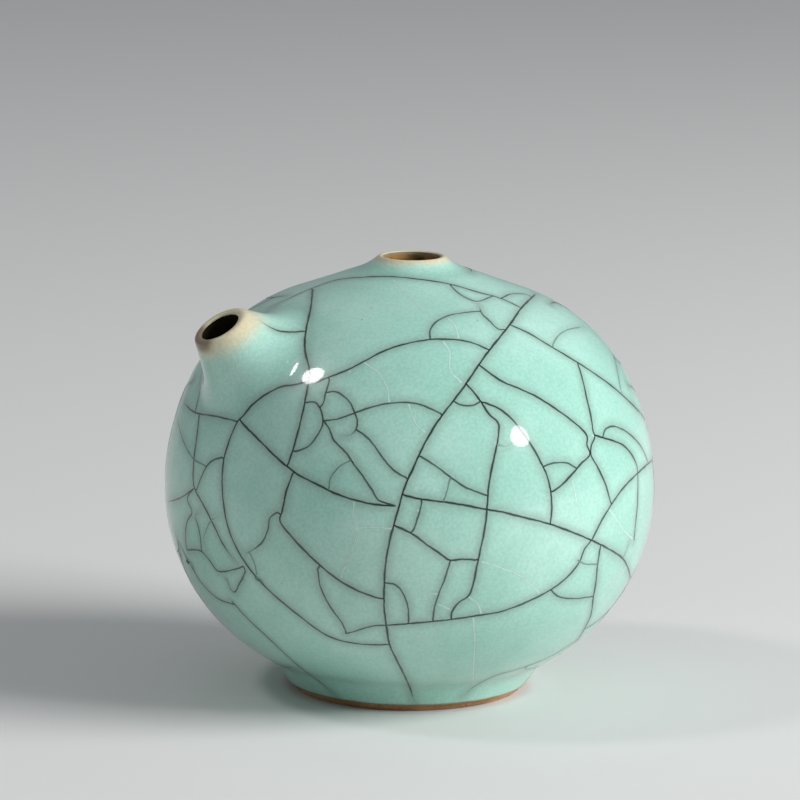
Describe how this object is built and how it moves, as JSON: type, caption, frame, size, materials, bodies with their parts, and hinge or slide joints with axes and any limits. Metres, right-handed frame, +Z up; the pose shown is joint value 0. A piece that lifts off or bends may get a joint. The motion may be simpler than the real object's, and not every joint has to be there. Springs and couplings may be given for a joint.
{
  "type": "calligraphy water dropper",
  "caption": "Round glazed stoneware water vessel with a fill and finger hole in a low collar, a short tilted pouring spout and a bare foot ring.",
  "frame": {"origin": "centre of the foot's underside", "axes": "+Z up through the fill hole, the spout points towards -X"},
  "size_m": [0.0696, 0.0696, 0.062],
  "materials": {
    "stoneware": "bare fired clay, fine and matt",
    "crackle_glaze": "thick pale blue-green glaze, glossy, with dark and pale crackle",
    "liner_glaze": "thin dark glossy glaze inside"
  },
  "bodies": {
    "root": {"clay_globe": "stoneware", "foot_ring": "stoneware", "clay_collar": "stoneware", "clay_spout": "stoneware", "outer_glaze": "crackle_glaze", "liner_glaze": "liner_glaze", "base_glaze": "crackle_glaze"}
  },
  "joints": []
}
